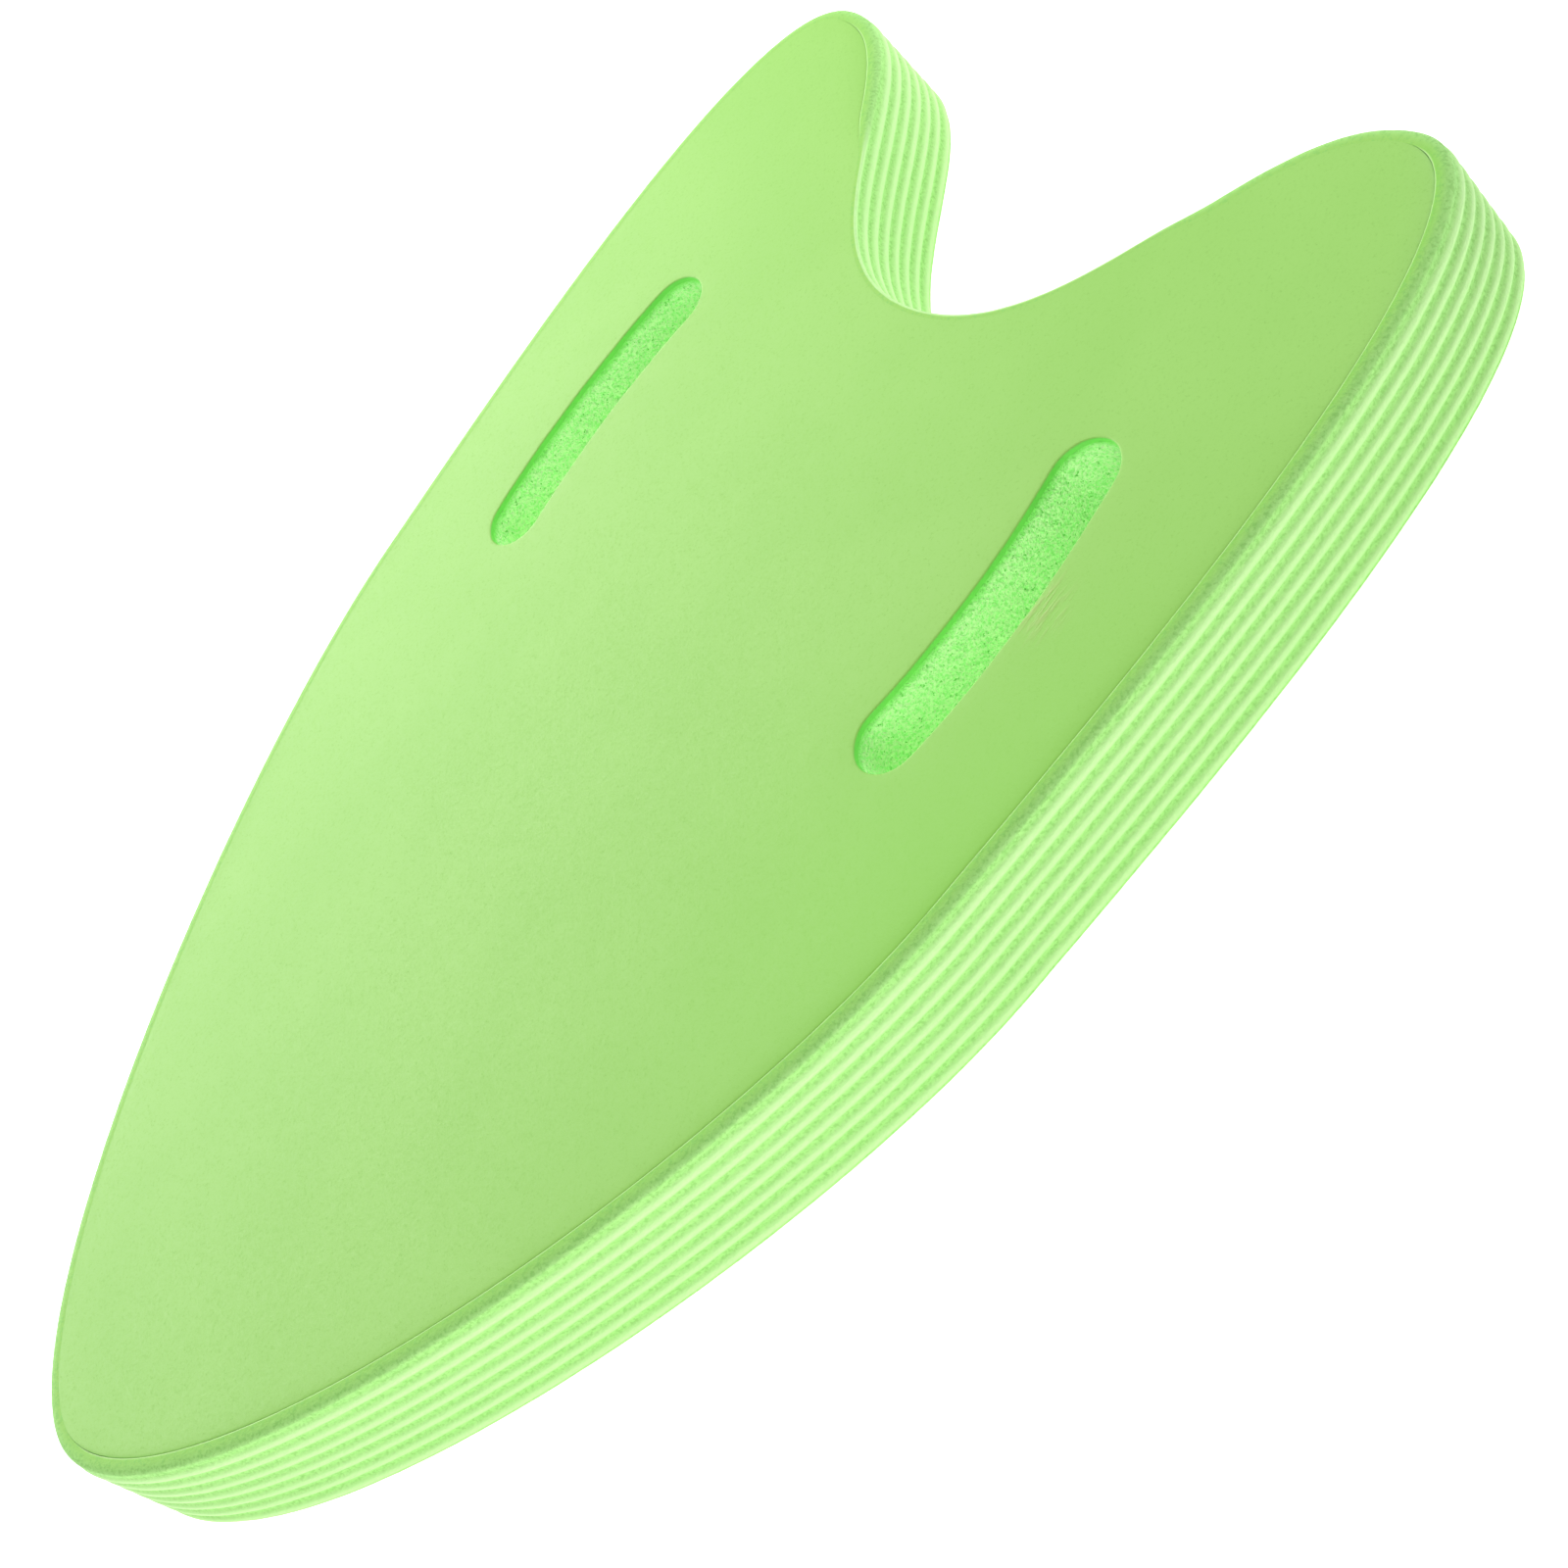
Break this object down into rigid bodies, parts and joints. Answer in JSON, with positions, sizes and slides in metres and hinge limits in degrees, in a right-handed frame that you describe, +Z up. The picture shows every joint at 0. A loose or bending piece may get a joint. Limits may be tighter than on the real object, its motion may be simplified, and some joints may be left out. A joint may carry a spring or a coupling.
{
  "type": "kickboard float",
  "caption": "Flat foam swimming kickboard with a rounded nose, a tail notch between horns, curved through-slots for the hands and a ribbed edge.",
  "frame": {"origin": "on the surface the board lies on, under the centre of its length and width", "axes": "+Z up through the thickness, +Y along the board towards the rounded nose, +X to the board's right side seen from above with the nose forward"},
  "size_m": [0.3016, 0.43, 0.035],
  "materials": {
    "face_foam": "smooth matte closed-cell foam",
    "core_foam": "raw cut open-celled foam",
    "edge_foam": "grainy matte moulded foam"
  },
  "bodies": {
    "root": {"top_skin": "face_foam", "bottom_skin": "face_foam", "foam_core": "core_foam", "ribbed_rail": "edge_foam"}
  },
  "joints": []
}
